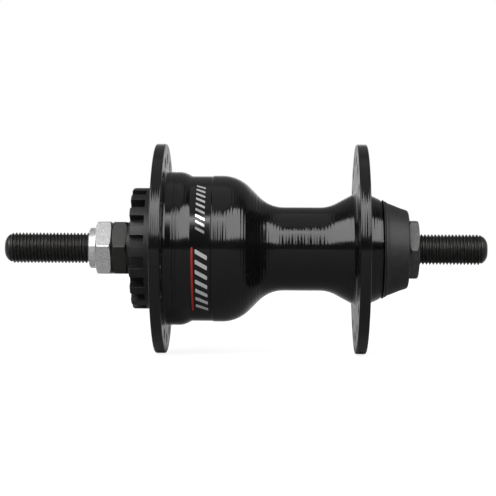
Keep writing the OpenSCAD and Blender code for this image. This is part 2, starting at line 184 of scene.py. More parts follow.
def make_floor():
    """Plain pale floor that the flanges stand on, overexposed to white like the backdrop."""
    bm = bmesh.new()
    bmesh.ops.create_circle(bm, cap_ends=True, segments=96, radius=FLOOR_REACH)
    mesh = bpy.data.meshes.new("floor")
    bm.to_mesh(mesh)
    bm.free()
    floor = bpy.data.objects.new("floor", mesh)
    floor.location.z = cad_box[0][2] - FLOOR_DROP
    scene.collection.objects.link(floor)
    material = bpy.data.materials.new("pale_floor")
    material.use_nodes = True
    nodes, links = material.node_tree.nodes, material.node_tree.links
    nodes.clear()
    out = nodes.new("ShaderNodeOutputMaterial")
    paint = nodes.new("ShaderNodeBsdfDiffuse")
    paint.inputs["Color"].default_value = (FLOOR_PAINT, FLOOR_PAINT, FLOOR_PAINT, 1)
    glow = nodes.new("ShaderNodeEmission")
    path = nodes.new("ShaderNodeLightPath")
    coords = nodes.new("ShaderNodeTexCoord")
    length = nodes.new("ShaderNodeVectorMath")
    length.operation = "LENGTH"
    links.new(coords.outputs["Object"], length.inputs[0])
    far = smooth_range(nodes, links, length.outputs["Value"], 0.15, 0.9)
    rise = combined(nodes, links, "MULTIPLY", far, FLOOR_GLOW_RISE)
    lift = combined(nodes, links, "ADD", rise, FLOOR_GLOW)
    seen = combined(nodes, links, "MULTIPLY", path.outputs["Is Camera Ray"], lift)
    split = nodes.new("ShaderNodeSeparateXYZ")
    links.new(coords.outputs["Object"], split.inputs["Vector"])
    back = smooth_range(nodes, links, split.outputs["Y"], 0.0, 0.05)
    behind = combined(nodes, links, "MULTIPLY", back, FLOOR_MIRRORED)
    mirrored = combined(nodes, links, "MULTIPLY", path.outputs["Is Glossy Ray"], behind)
    links.new(combined(nodes, links, "ADD", seen, mirrored), glow.inputs["Strength"])
    both = nodes.new("ShaderNodeAddShader")
    links.new(paint.outputs["BSDF"], both.inputs[0])
    links.new(glow.outputs["Emission"], both.inputs[1])
    links.new(both.outputs["Shader"], out.inputs["Surface"])
    mesh.materials.append(material)


make_camera()
make_world()
make_floor()
for light_name, azimuth, strip_width in (("strip_left", -45, 1.1), ("strip_right", 41, 1.15)):
    soft_box(light_name, azimuth, elevation=36, distance=0.95, width=strip_width, height=0.76,
             radiance=5.2, mirrored=True)
soft_box("key", -10, elevation=30, distance=1.0, width=1.2, height=0.9, radiance=1.4, mirrored=False)
scene.view_settings.view_transform = "Standard"


# ---------------------------------------------------------------- materials

def principled(name, colour, rough, metal=0.0, specular=0.5):
    """Material with one Principled shader; what is the same all over is set on its sockets."""
    material = bpy.data.materials.new(name)
    material.use_nodes = True
    shader = material.node_tree.nodes["Principled BSDF"]
    shader.inputs["Base Color"].default_value = (*colour, 1)
    shader.inputs["Roughness"].default_value = rough
    shader.inputs["Metallic"].default_value = metal
    shader.inputs["Specular IOR Level"].default_value = specular
    return material


def place(material, scale):
    """Object coordinates in millimetres, stretched by scale along X, Y and Z."""
    nodes, links = material.node_tree.nodes, material.node_tree.links
    coords = nodes.new("ShaderNodeTexCoord")
    mapping = nodes.new("ShaderNodeMapping")
    mapping.inputs["Scale"].default_value = [s / MM for s in scale]
    links.new(coords.outputs["Object"], mapping.inputs["Vector"])
    return mapping.outputs["Vector"]


def speckle(material, scale, detail=4.0, rough=0.55):
    """Noise over a material; scale is in patches per millimetre along X, Y and Z."""
    nodes, links = material.node_tree.nodes, material.node_tree.links
    texture = nodes.new("ShaderNodeTexNoise")
    texture.inputs["Scale"].default_value = 1
    texture.inputs["Detail"].default_value = detail
    texture.inputs["Roughness"].default_value = rough
    links.new(place(material, scale), texture.inputs["Vector"])
    return texture.outputs["Fac"]


def rings(material, pitch, wander):
    """Lines round the axle, pitch millimetres apart; wander makes their spacing uneven."""
    nodes, links = material.node_tree.nodes, material.node_tree.links
    wave = nodes.new("ShaderNodeTexWave")
    wave.bands_direction = "X"
    wave.inputs["Scale"].default_value = 1
    wave.inputs["Distortion"].default_value = wander
    wave.inputs["Detail Scale"].default_value = 2
    waves_per_unit = 20 / TURN
    links.new(place(material, (1 / (pitch * waves_per_unit), 0.002, 0.002)), wave.inputs["Vector"])
    return wave.outputs["Fac"]


def facing_along_axle(material):
    """1 on faces square to the axle and 0 on those that run along it."""
    nodes, links = material.node_tree.nodes, material.node_tree.links
    geometry = nodes.new("ShaderNodeNewGeometry")
    split = nodes.new("ShaderNodeSeparateXYZ")
    links.new(geometry.outputs["Normal"], split.inputs["Vector"])
    size = nodes.new("ShaderNodeMath")
    size.operation = "ABSOLUTE"
    links.new(split.outputs["X"], size.inputs[0])
    return size.outputs["Value"]


def ranged(material, value, low, high, start=0.3, end=0.7):
    """Maps value from start..end to low..high."""
    nodes, links = material.node_tree.nodes, material.node_tree.links
    ramp = nodes.new("ShaderNodeMapRange")
    ramp.inputs["From Min"].default_value = start
    ramp.inputs["From Max"].default_value = end
    ramp.inputs["To Min"].default_value = low
    ramp.inputs["To Max"].default_value = high
    links.new(value, ramp.inputs["Value"])
    return ramp.outputs["Result"]


def blended(material, factor, first, second):
    """Colour between first and second, each a colour or a socket."""
    nodes, links = material.node_tree.nodes, material.node_tree.links
    mix = nodes.new("ShaderNodeMix")
    mix.data_type = "RGBA"
    links.new(factor, mix.inputs["Factor"])
    for socket, colour in ((mix.inputs[6], first), (mix.inputs[7], second)):
        if isinstance(colour, tuple):
            socket.default_value = (*colour, 1)
        else:
            links.new(colour, socket)
    return mix.outputs[2]


def edges(material, radius):
    """1 on the sharp edges of a shape and 0 on its faces; radius in millimetres."""
    start, end = 0.02, 0.25
    nodes, links = material.node_tree.nodes, material.node_tree.links
    bevel = nodes.new("ShaderNodeBevel")
    bevel.samples = 6
    bevel.inputs["Radius"].default_value = radius * MM
    geometry = nodes.new("ShaderNodeNewGeometry")
    dot = nodes.new("ShaderNodeVectorMath")
    dot.operation = "DOT_PRODUCT"
    links.new(bevel.outputs["Normal"], dot.inputs[0])
    links.new(geometry.outputs["Normal"], dot.inputs[1])
    return ranged(material, dot.outputs["Value"], 1, 0, 1 - end, 1 - start)


def joined(material, operation, a, b):
    """Value that a Math node makes of two values or sockets."""
    return combined(material.node_tree.nodes, material.node_tree.links, operation, a, b)


def feed(material, socket, value):
    """Links value to a socket of the material's shader."""
    shader = material.node_tree.nodes["Principled BSDF"]
    material.node_tree.links.new(value, shader.inputs[socket])


def relief(material, *layers):
    """Bump from layers of (height socket, depth in millimetres)."""
    nodes, links = material.node_tree.nodes, material.node_tree.links
    normal = None
    for height, depth in layers:
        bump = nodes.new("ShaderNodeBump")
        bump.inputs["Distance"].default_value = depth * MM
        links.new(height, bump.inputs["Height"])
        if normal:
            links.new(normal, bump.inputs["Normal"])
        normal = bump.outputs["Normal"]
    feed(material, "Normal", normal)


def worn_metal(name, dark, light, rough, bare=None, metal=1.0, specular=0.5,
               turned=0.0, pits=0.004, edge=0.12):
    """Metal whose tone and gloss vary in patches, with fine pits, turning lines and worn edges.
    turned is the depth of the turning lines and pits that of the pits, in millimetres."""
    material = principled(name, dark, rough, metal, specular)
    patches = speckle(material, (0.9, 0.9, 0.9), 6)
    colour = blended(material, ranged(material, patches, 0, 1), dark, light)
    if bare:
        scuffs = speckle(material, (0.7, 0.7, 0.7), 8, 0.7)
        rubbed = ranged(material, scuffs, 0, 1, 0.4, 0.62)
        worn = joined(material, "MULTIPLY", edges(material, edge), rubbed)
        colour = blended(material, worn, colour, bare)
    feed(material, "Base Color", colour)
    fine = speckle(material, (5, 5, 5), 3)
    feed(material, "Roughness", ranged(material, fine, rough - 0.07, rough + 0.07))
    layers = [(fine, pits)]
    if turned:
        layers.append((speckle(material, (14, 0.02, 0.02), 3), turned))
    relief(material, *layers)
    return material


def gloss_black():
    """Polished black finish, a little uneven, with fine turning lines."""
    material = principled("gloss_black", (0.0065, 0.0065, 0.007), 0.12, specular=0.42)
    lines = rings(material, 0.31, 2.2)
    smears = speckle(material, (0.12, 0.25, 0.25), 4)
    gloss = ranged(material, smears, 0.1, 0.16)
    face = ranged(material, facing_along_axle(material), 1, 2.2, 0.85, 0.97)
    feed(material, "Roughness", joined(material, "MULTIPLY", gloss, face))
    tone = blended(material, ranged(material, lines, 0, 1), (0.0055, 0.0055, 0.006), (0.01, 0.01, 0.011))
    scratches = speckle(material, (0.5, 1.6, 0.12), 8, 0.8)
    tone = blended(material, ranged(material, scratches, 0, 0.5, 0.74, 0.8), tone, (0.12, 0.12, 0.12))
    worn = joined(material, "MULTIPLY", edges(material, 0.1), 0.25)
    feed(material, "Base Color", blended(material, worn, tone, (0.06, 0.06, 0.06)))
    orange_peel = speckle(material, (2.5, 2.5, 2.5), 2)
    relief(material, (lines, 0.0015), (orange_peel, 0.0006))
    return material


def rubber(name, dark, light, rough, bump=0.012):
    """Matte moulded rubber with a fine grain and dusty patches."""
    material = principled(name, dark, rough, specular=0.35)
    dust = speckle(material, (0.35, 0.5, 0.5), 6, 0.6)
    grain = speckle(material, (9, 9, 9), 3)
    feed(material, "Base Color", blended(material, ranged(material, dust, 0, 1), dark, light))
    feed(material, "Roughness", ranged(material, grain, rough - 0.08, rough + 0.08))
    relief(material, (grain, bump), (dust, bump))
    return material


def printed(name, colour, metal, rough):
    """Thin print, slightly uneven in its coverage; metal is 1 for a mirror-like foil."""
    material = principled(name, colour, rough, metal)
    cover = speckle(material, (5, 5, 5), 5)
    thin = tuple(0.72 * c for c in colour)
    covered = ranged(material, cover, 0, 1, 0.25, 0.5)
    feed(material, "Base Color", blended(material, covered, thin, colour))
    feed(material, "Roughness", ranged(material, cover, rough - 0.06, rough + 0.06))
    relief(material, (cover, 0.001))
    return material


def grey(value, warm=0.0):
    """Grey of that linear value; warm shifts it towards yellow."""
    return (value * (1 + warm), value, value * (1 - 1.5 * warm))


MATERIALS = {
    "gloss_black_shell": gloss_black(),
    "black_ring_steel": worn_metal(
        "satin_black", grey(0.006), grey(0.012), 0.42, grey(0.13), 0.0, 0.42, pits=0.008),
    "black_nut_steel": worn_metal(
        "black_oxide", grey(0.012, 0.04), grey(0.022, 0.06), 0.4, grey(0.16, 0.05), 0.0, 0.5, pits=0.008),
    "axle_steel": worn_metal(
        "oiled_axle", grey(0.02, 0.03), grey(0.045, 0.04), 0.38, grey(0.22, 0.02), 0.6, pits=0.006, edge=0.1),
    "zinc_steel": worn_metal(
        "bright_zinc", grey(0.7), grey(0.84), 0.24, grey(0.9), 0.6, pits=0.008, turned=0.002),
    "dark_nut_steel": worn_metal("dark_nut", grey(0.055), grey(0.09), 0.5, grey(0.25), 0.4, pits=0.01),
    "ground_steel": worn_metal("ground_steel", grey(0.5), grey(0.66), 0.22, turned=0.002),
    "ball_steel": worn_metal("ball_steel", grey(0.72), grey(0.8), 0.08, pits=0.0004),
    "retainer_steel": worn_metal("yellow_zinc", (0.5, 0.4, 0.16), (0.66, 0.56, 0.3), 0.32),
    "plate_steel": worn_metal("plate_steel", grey(0.3), grey(0.46), 0.34, turned=0.004),
    "lined_plate_steel": worn_metal("friction_lining", (0.12, 0.07, 0.045), (0.2, 0.12, 0.07), 0.7,
                                    metal=0.0, pits=0.03),
    "spring_steel": worn_metal("blued_spring", (0.1, 0.12, 0.19), (0.2, 0.21, 0.26), 0.3),
    "bush_bronze": worn_metal("sintered_bronze", (0.42, 0.25, 0.1), (0.58, 0.37, 0.17), 0.45, pits=0.02),
    "boot_rubber": rubber("boot_rubber", grey(0.017), grey(0.028), 0.55),
    "seal_rubber": rubber("seal_rubber", grey(0.006), grey(0.01), 0.45, 0.006),
}
SLOTS = {
    "hub_shell": "gloss_black_shell", "clutch_cover": "black_ring_steel",
    "brake_ring": "black_ring_steel",
    "axle": "axle_steel", "left_locknut": "zinc_steel", "left_cone": "black_nut_steel",
    "left_dust_cap": "seal_rubber", "right_cone": "ground_steel", "right_lock_washer": "ground_steel",
    "right_locknut": "dark_nut_steel", "right_dust_cover": "boot_rubber",
    "right_seal_ring": "seal_rubber",
    "left_bearing_cup": "ground_steel", "right_bearing_cup": "ground_steel",
    "outer_clutch_plates": "plate_steel", "inner_clutch_plates": "lined_plate_steel",
    "clutch_pressure_plate": "plate_steel", "clutch_disc_springs": "spring_steel",
    "clutch_retaining_ring": "spring_steel", "clutch_seal_ring": "seal_rubber",
    "drive_bush": "bush_bronze", "left_ball_retainer": "retainer_steel",
    "right_ball_retainer": "retainer_steel", "left_balls": "ball_steel", "right_balls": "ball_steel",
}

for node_name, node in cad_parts.items():
    node.data.materials.clear()
    node.data.materials.append(MATERIALS[SLOTS[node_name]])


# ---------------------------------------------------------------- mesh helpers

def polar(x, radius, angle):
    """Point at a radius and an angle in radians about the axle."""
    return (x, -radius * math.sin(angle), radius * math.cos(angle))


def steps(count):
    """Count equal angles round the axle."""
    return [TURN * i / count for i in range(count)]


def arc(centre_x, centre_r, radius, start, end, count):
    """(x, r) points on an arc; 0 degrees points away from the axle and 90 towards +X."""
    angles = [math.radians(start + (end - start) * i / count) for i in range(count + 1)]
    return [(centre_x + radius * math.sin(a), centre_r + radius * math.cos(a)) for a in angles]


def rounded(outline, radius, closed=True):
    """Outline of (x, r) points with each sharp corner eased over about radius."""
    count, straight = 3, math.radians(160)
    result = []
    total = len(outline)
    for i, corner in enumerate(outline):
        here = Vector(corner)
        before = Vector(outline[i - 1]) - here
        after = Vector(outline[(i + 1) % total]) - here
        at_end = not closed and i in (0, total - 1)
        if (at_end or before.length < TINY or after.length < TINY
                or before.angle(after) > straight):
            result.append(corner)
            continue
        reach = min(radius, 0.45 * before.length, 0.45 * after.length)
        first, last = here + before.normalized() * reach, here + after.normalized() * reach
        for k in range(count + 1):
            t = k / count
            point = (1 - t) ** 2 * first + 2 * t * (1 - t) * here + t ** 2 * last
            result.append(tuple(point))
    return result


def bridge(bm, first, second, closed=True):
    """Faces between two rings or rows of vertices; a ring of one vertex makes a fan."""
    count = max(len(first), len(second))
    for i in range(count if closed else count - 1):
        j = (i + 1) % count
        corners = [first[i % len(first)], first[j % len(first)],
                   second[j % len(second)], second[i % len(second)]]
        unique = list(dict.fromkeys(corners))
        if len(unique) > 2:
            bm.faces.new(unique)


def loft(bm, rows, angles, closed=False):
    """Skin through rows round the axle. A row is an (x, r) point, or a function of the angle that
    gives one."""
    rings = []
    for row in rows:
        if callable(row):
            rings.append([bm.verts.new(polar(*row(a), a)) for a in angles])
        elif row[1] < TINY:
            rings.append([bm.verts.new((row[0], 0, 0))])
        else:
            rings.append([bm.verts.new(polar(*row, a)) for a in angles])
    for first, second in zip(rings, rings[1:]):
        bridge(bm, first, second)
    if closed:
        bridge(bm, rings[-1], rings[0])


def piece(name, bm, body, slot, sharp=32, bevel=0.0, replaces=(), material=None):
    """Turns bm into an object that rides on body and takes its finish from slot."""
    bmesh.ops.remove_doubles(bm, verts=bm.verts, dist=WELD)
    bmesh.ops.recalc_face_normals(bm, faces=bm.faces)
    bm.transform(Matrix.Scale(MM, 4))
    mesh = bpy.data.meshes.new(name)
    bm.to_mesh(mesh)
    bm.free()
    mesh.shade_smooth()
    mesh.set_sharp_from_angle(angle=math.radians(sharp))
    mesh.materials.append(material or MATERIALS[slot])
    obj = bpy.data.objects.new(name, mesh)
    scene.collection.objects.link(obj)
    if bevel:
        ease = obj.modifiers.new("ease", "BEVEL")
        ease.width = bevel * MM
        ease.segments = 2
        ease.limit_method = "ANGLE"
        ease.angle_limit = math.radians(sharp)
        ease.harden_normals = True
    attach(obj, body)
    if replaces:
        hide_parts(*replaces)


def turned_piece(name, outline, body, slot, replaces=(), ease=0.15):
    """Closed outline of (x, r) points turned about the axle, with eased corners."""
    bm = bmesh.new()
    loft(bm, rounded(outline, ease), steps(COLUMNS), closed=True)
    piece(name, bm, body, slot, replaces=replaces)


# ---------------------------------------------------------------- axle

def make_axle():
    """Axle with a cut M9 x 1 helix at both ends, rounded ends and a plain shank between."""
    left, right, crest = span("axle")
    pitch, thread_depth, thread_run = 1.0, 0.58, 47
    root = crest - thread_depth
    shank, shank_ease = 4.0, 0.6
    dimple_depth = 0.25
    columns = 64
    # over one pitch, (distance along the axle, radius)
    profile = [
        (0.0, crest), (0.14, crest), (0.44, root + 0.08), (0.53, root), (0.63, root), (0.72, root + 0.08)]
    # at the ends, (distance from the end, radius)
    dome = [
        (0, 2.2), (0.15, 2.6), (0.45, 3.1), (0.8, 3.5), (1.2, 3.85), (1.7, 4.15), (2.4, crest), (99, crest)]

    def end_limit(x):
        depth = min(x - left, right - x)
        for (x0, r0), (x1, r1) in zip(dome, dome[1:]):
            if depth <= x1:
                return r0 + (r1 - r0) * (depth - x0) / (x1 - x0)
        return crest

    def threaded(bm, start, end):
        angles = steps(columns)
        rows = []
        first, last = math.floor(start - 1), math.ceil(end + 1)
        for turn in range(first, last):
            for offset, radius in profile:
                row = []
                for k, a in enumerate(angles):
                    x = min(max(turn + offset + pitch * k / columns, start), end)
                    row.append(bm.verts.new(polar(x, min(radius, end_limit(x)), a)))
                rows.append(row)
        lead = len(profile)
        for i in range(len(rows) - 1):
            for k in range(columns - 1):
                bm.faces.new((rows[i][k], rows[i][k + 1], rows[i + 1][k + 1], rows[i + 1][k]))
            if i + 1 + lead < len(rows):
                bm.faces.new((rows[i][-1], rows[i + lead][0], rows[i + lead + 1][0], rows[i + 1][-1]))

    bm = bmesh.new()
    threaded(bm, left, left + thread_run)
    threaded(bm, right - thread_run, right)
    bmesh.ops.remove_doubles(bm, verts=bm.verts, dist=WELD)
    bmesh.ops.dissolve_degenerate(bm, edges=bm.edges, dist=WELD)
    face_r = dome[0][1]
    for x, side in ((left, 1), (right, -1)):
        loft(bm, [
            (x + side * dimple_depth, 0), (x + side * dimple_depth, 0.4), (x, 1.1), (x, face_r)
        ], steps(columns))
    loft(bm, [
        (left + thread_run, root), (left + thread_run + shank_ease, shank),
        (right - thread_run - shank_ease, shank), (right - thread_run, root)], steps(columns))
    piece("threaded_axle", bm, "axle_assembly", "axle_steel", replaces=("axle",))


# ---------------------------------------------------------------- nuts and cones

NUT_BORE_R = 4.2  # inside the axle's thread, so a nut's bore never shows


def hex_angles(turn):
    """Angles round a hexagon, closer together at its corners; turn moves its front corner from -Y."""
    flat_steps, corner_steps, corner_half = 8, 6, 3.2
    angles = []
    for corner in range(6):
        middle = 90 + turn + 60 * corner
        angles += [middle - corner_half + 2 * corner_half * i / corner_steps for i in range(corner_steps)]
        flat = 60 - 2 * corner_half
        angles += [middle + corner_half + flat * i / flat_steps for i in range(flat_steps)]
    return [math.radians(a) for a in angles]


def hex_radius(flats, turn):
    """Function from angle to the radius of a hexagon with rounded corners."""
    corner = 0.45
    half = flats / 2
    centre = (half - corner) / math.cos(math.radians(30))
    tangent = math.atan((half - corner) * math.tan(math.radians(30)) / half)

    def radius(angle):
        off_corner = (math.degrees(angle) - 90 - turn + 30) % 60 - 30
        off_flat = math.radians(30 - abs(off_corner))
        if off_flat <= tangent:
            return half / math.cos(off_flat)
        off = math.radians(abs(off_corner))
        return centre * math.cos(off) + math.sqrt(corner ** 2 - (centre * math.sin(off)) ** 2)

    return radius


def chamfer_row(end_x, side, radius, face_r):
    """Row where a nut's end chamfer meets its flats; side is 1 if the nut lies to the right of end_x."""
    slope, least = 30, 0.06

    def row(angle):
        wide = radius(angle)
        return end_x + side * max(least, (wide - face_r) * math.tan(math.radians(slope))), wide
    return row


def make_left_locknut():
    """Bright nut: a hexagon with a round collar that centres the brake unit."""
    left, right, _ = span("left_locknut")
    flats, turn, bore = 14.9, -3, 4.55
    collar_r, collar_len = 5.9, 2.2
    hex_x = left + collar_len
    radius = hex_radius(flats, turn)
    face_r = flats / 2 - 0.1
    bm = bmesh.new()
    loft(bm, [
        (left + 0.5, NUT_BORE_R), (left, bore), (left, collar_r - 0.62), (left + 0.1, collar_r - 0.3),
        (left + 0.3, collar_r - 0.08), (left + 0.62, collar_r), (hex_x - 0.45, collar_r),
        (hex_x - 0.16, collar_r + 0.1), (hex_x, collar_r + 0.38), (hex_x, face_r),
        chamfer_row(hex_x, 1, radius, face_r), chamfer_row(right, -1, radius, flats / 2 + 0.35),
        (right, flats / 2 - 0.15), (right, NUT_BORE_R)
    ], hex_angles(turn), closed=True)
    piece("left_locknut_piece", bm, "axle_assembly", "zinc_steel", 25, 0.1, ("left_locknut",))


def make_left_cone():
    """Black cone: hexagon, neck and the groove that the balls roll in."""
    left, right, _ = span("left_cone")
    flats, turn, neck_r = 14.9, -2, 7.3
    hex_right = left + 4.3
    radius = hex_radius(flats, turn)
    face_r = flats / 2 - 0.15
    race_x, pitch_r, race_r = -23.5, 8.4, 2.42
    reach = math.degrees(math.acos((pitch_r - neck_r) / race_r))
    groove = arc(race_x, pitch_r, race_r, 180 + reach, 180 + math.degrees(math.asin(-0.2)), 10)
    bm = bmesh.new()
    loft(bm, [
        (left + 0.5, NUT_BORE_R), (left, 4.6), (left, face_r), chamfer_row(left, 1, radius, face_r),
        chamfer_row(hex_right, -1, radius, flats / 2 + 0.4), (hex_right, flats / 2 - 0.1),
        (hex_right, neck_r + 0.02), (hex_right + 0.3, neck_r), *groove, (right, NUT_BORE_R)
    ], hex_angles(turn), closed=True)
    piece("left_cone_piece", bm, "axle_assembly", "black_nut_steel", 25, 0.1, ("left_cone",))


def make_right_locknut():
    """Thin dark hexagon with a round shoulder inside the dust cover."""
    left, right, _ = span("right_locknut")
    flats, turn, shoulder_r = 16.5, 2, 7.8
    hex_x = right - 2.9
    radius = hex_radius(flats, turn)
    face_r = flats / 2 - 0.1
    bm = bmesh.new()
    loft(bm, [
        (left, NUT_BORE_R), (left, shoulder_r - 0.2), (left + 0.2, shoulder_r), (hex_x, shoulder_r),
        (hex_x, flats / 2 - 0.1), chamfer_row(hex_x, 1, radius, flats / 2 + 0.45),
        chamfer_row(right, -1, radius, face_r), (right, face_r), (right, 4.55), (right - 0.4, NUT_BORE_R)
    ], hex_angles(turn), closed=True)
    piece("right_locknut_piece", bm, "axle_assembly", "dark_nut_steel", 25, 0.1, ("right_locknut",))


# ---------------------------------------------------------------- rubber parts

def make_rubber_parts():
    """Cap on the left cone, lip ring and tapered boot on the right."""
    left, right, cap_r = span("left_dust_cap")
    turned_piece("left_cap_piece", [
        (left, 7.33), (left, 7.6), (left + 2.0, 7.6), (left + 2.0, cap_r), (right, cap_r), (right, 7.33)
    ], "axle_assembly", "seal_rubber", ("left_dust_cap",), 0.2)
    left, right, rim_r = span("right_seal_ring")
    turned_piece("right_lip_piece", [
        (left, 12.2), (left, rim_r - 0.25), (left + 0.22, rim_r), (right, rim_r - 0.3), (right, 12.2)
    ], "axle_assembly", "seal_rubber", ("right_seal_ring",), 0.1)
    left, right, foot_r = span("right_dust_cover")
    inner_r = 7.82
    outside = [
        (left, foot_r), (left + 0.45, 13.92), (left + 0.75, 13.66), (left + 1.1, 13.42),
        (left + 1.9, 13.14), (left + 4.8, 11.98), (right - 0.4, 11.4), (right, 11.0)
    ]
    inside = [
        (right, inner_r), (right - 1.4, inner_r), (right - 1.75, 9.4), (left + 1.05, 11.5), (left, 12.2)]
    turned_piece("right_boot_piece", outside + inside, "axle_assembly", "boot_rubber",
                 ("right_dust_cover",), 0.3)


# ---------------------------------------------------------------- brake ring

def make_brake_ring():
    """Slotted ring that the brake's rotor slides on, with the sleeve that carries clutch plates."""
    left, right, ring_r = span("brake_ring")
    slots, slot_w, slot_depth, first_slot = 18, 3.3, 2.8, math.radians(3.4)
    slot_end, shoulder = left + 4.2, left + 6.1
    tip_ease, edge_ease, seat_ease = 0.4, 0.3, 0.2
    sleeve_r, sleeve_bore, seat_r = 15.0, 13.6, 11.5
    web_left, web_right, web_r = left + 2.0, left + 4.6, 9.8
    floor_r = ring_r - slot_depth
    sector = TURN / slots
    tooth_shares = (0, 0.25, 0.5, 0.75, 1)
    slot_shares = (-1, 0, 1)

    def half_slot(radius):
        return math.asin(slot_w / 2 / radius)

    def tooth_angle(radius, share):
        edge = half_slot(radius)
        return edge + (sector - 2 * edge) * share

    def corner_angles(radius):
        """Angles of every slot and tooth point at a radius, in order round the ring."""
        marks = [s * half_slot(radius) for s in slot_shares]
        marks += [tooth_angle(radius, s) for s in tooth_shares[1:-1]]
        return sorted({round(first_slot + k * sector + mark, 9) for k in range(slots) for mark in marks})

    bm = bmesh.new()
    for slot in range(slots):
        start = first_slot + slot * sector

        def tooth_row(x, radius):
            return [bm.verts.new(polar(x, radius, start + tooth_angle(radius, s))) for s in tooth_shares]

        def slot_row(x, radius):
            return [bm.verts.new(polar(x, radius, start + s * half_slot(radius))) for s in slot_shares]

        teeth = [tooth_row(left, floor_r), tooth_row(left, ring_r - tip_ease),
                 tooth_row(left + tip_ease, ring_r), tooth_row(slot_end, ring_r)]
        for a, b in zip(teeth, teeth[1:]):
            bridge(bm, a, b, closed=False)
        for share in (0, -1):
            column = [row[share] for row in teeth]
            foot = bm.verts.new(teeth[0][share].co + Vector((slot_end - left, 0, 0)))
            bm.faces.new(column + [foot])
        floor = [slot_row(left, floor_r), slot_row(slot_end, floor_r)]
        bridge(bm, *floor, closed=False)
        bridge(bm, floor[1], slot_row(slot_end, ring_r), closed=False)
        band = [[*slot_row(x, ring_r), *tooth_row(x, ring_r)[1:]] for x in (slot_end, shoulder - edge_ease)]
        bridge(bm, *band, closed=False)
    bmesh.ops.remove_doubles(bm, verts=bm.verts, dist=WELD)
    loft(bm, [
        (shoulder - edge_ease, ring_r), (shoulder, ring_r - edge_ease), (shoulder, sleeve_r),
        (right - edge_ease, sleeve_r), (right, sleeve_r - edge_ease), (right, sleeve_bore),
        (web_right, sleeve_bore), (web_right, web_r), (web_left, web_r), (web_left, seat_r),
        (left + seat_ease, seat_r), (left, seat_r + seat_ease)
    ], corner_angles(ring_r))
    loft(bm, [(left, floor_r), (left, seat_r + seat_ease)], corner_angles(floor_r))
    piece("brake_ring_piece", bm, "brake_drive", "black_ring_steel", 25, 0.12, ("brake_ring",))
    make_splines(-23.8, right - edge_ease)


def make_splines(start_x, end_x):
    """Ridges along the brake ring's sleeve that turn the lined clutch plates."""
    splines, tip_r, foot_r, half_w, parts = 6, 15.9, 14.6, 1.3, 4
    half = half_w / tip_r
    for k in range(splines):
        middle = math.radians(30 + 60 * k)
        bm = bmesh.new()
        angles = [middle - half + 2 * half * i / parts for i in range(parts + 1)]
        ends = []
        for x in (start_x, end_x):
            ends.append([bm.verts.new(polar(x, r, a))
                         for r, line in ((tip_r, angles), (foot_r, angles[::-1])) for a in line])
        bridge(bm, *ends)
        for end in ends:
            bm.faces.new(end)
        piece(f"sleeve_spline_{k + 1}", bm, "brake_drive", "black_ring_steel", 40, 0.12)


# ---------------------------------------------------------------- hub shell

_, SHELL_END, FLANGE_R = span("hub_shell")
LEFT_OUTER = -25.95
FLANGE_T = 3.1
LEFT_INNER = LEFT_OUTER + FLANGE_T
RIGHT_INNER = 31.9
RIGHT_OUTER = RIGHT_INNER + FLANGE_T
HOLES = 18
HOLE_PITCH_R = 26.0
HOLE_R = 1.45
CELL_IN, CELL_OUT = 23.4, 28.6  # ring of the flange that holds the spoke holes
BAND_LEFT, BAND_RIGHT, BAND_R = -15.4, -9.5, 21.05
GROOVE_STEP = 0.11
RIM_MARKS, BARREL_MARKS, COLLAR_MARKS = (0.045, 0.7), (0.05, 0.88), (0.05, 0.8)  # depth and pitch
GROOVED = (  # stretches along the axle that show turning lines: rims, drum, bowl and barrel, and collar
    (LEFT_OUTER + 0.4, LEFT_INNER - 0.4), (-20.8, BAND_LEFT), (BAND_RIGHT, RIGHT_INNER - 0.9),
    (RIGHT_INNER + 0.4, RIGHT_OUTER - 0.4), (RIGHT_OUTER + 0.7, SHELL_END - 0.7))


def hole_ring(x, radius, middle):
    """Ring of points round one spoke hole, starting at the corner of its cell."""
    count = COLUMNS // HOLES * 4
    ring = []
    for i in range(count):
        around = math.radians(45) + TURN * i / count
        out = HOLE_PITCH_R + radius * math.cos(around)
        across = radius * math.sin(around)
        point = Vector(polar(x, out, middle)) + across * Vector((0, -math.cos(middle), -math.sin(middle)))
        ring.append(point)
    return ring


def cell_ring(x, middle):
    """Border of the cell round one spoke hole, point for point beside hole_ring."""
    side = COLUMNS // HOLES
    half = math.pi / HOLES
    corners = [(CELL_OUT, half), (CELL_IN, half), (CELL_IN, -half), (CELL_OUT, -half)]
    ring = []
    for (r0, a0), (r1, a1) in zip(corners, corners[1:] + corners[:1]):
        for i in range(side):
            t = i / side
            ring.append(Vector(polar(x, r0 + (r1 - r0) * t, middle + a0 + (a1 - a0) * t)))
    return ring


def drill_flange(bm, x0, x1, first_hole):
    """Both faces of a flange's ring of spoke holes, and the countersunk walls of the holes."""
    sink, ease, collar = 0.28, 0.1, 0.7
    for k in range(HOLES):
        middle = first_hole + TURN * k / HOLES
        rows = [
            cell_ring(x0, middle), hole_ring(x0, HOLE_R + collar, middle),
            hole_ring(x0, HOLE_R + sink, middle), hole_ring(x0 + ease, HOLE_R + ease, middle),
            hole_ring(x0 + sink, HOLE_R, middle), hole_ring(x1 - sink, HOLE_R, middle),
            hole_ring(x1 - ease, HOLE_R + ease, middle), hole_ring(x1, HOLE_R + sink, middle),
            hole_ring(x1, HOLE_R + collar, middle), cell_ring(x1, middle)
        ]
        rings = [[bm.verts.new(p) for p in row] for row in rows]
        for first, second in zip(rings, rings[1:]):
            bridge(bm, first, second)


def rim(x0, x1):
    """Outline over the edge of a flange."""
    ease = 0.5
    return [(x0, CELL_OUT), *arc(x0 + ease, FLANGE_R - ease, ease, -90, 0, 5),
            *arc(x1 - ease, FLANGE_R - ease, ease, 0, 90, 5), (x1, CELL_OUT)]


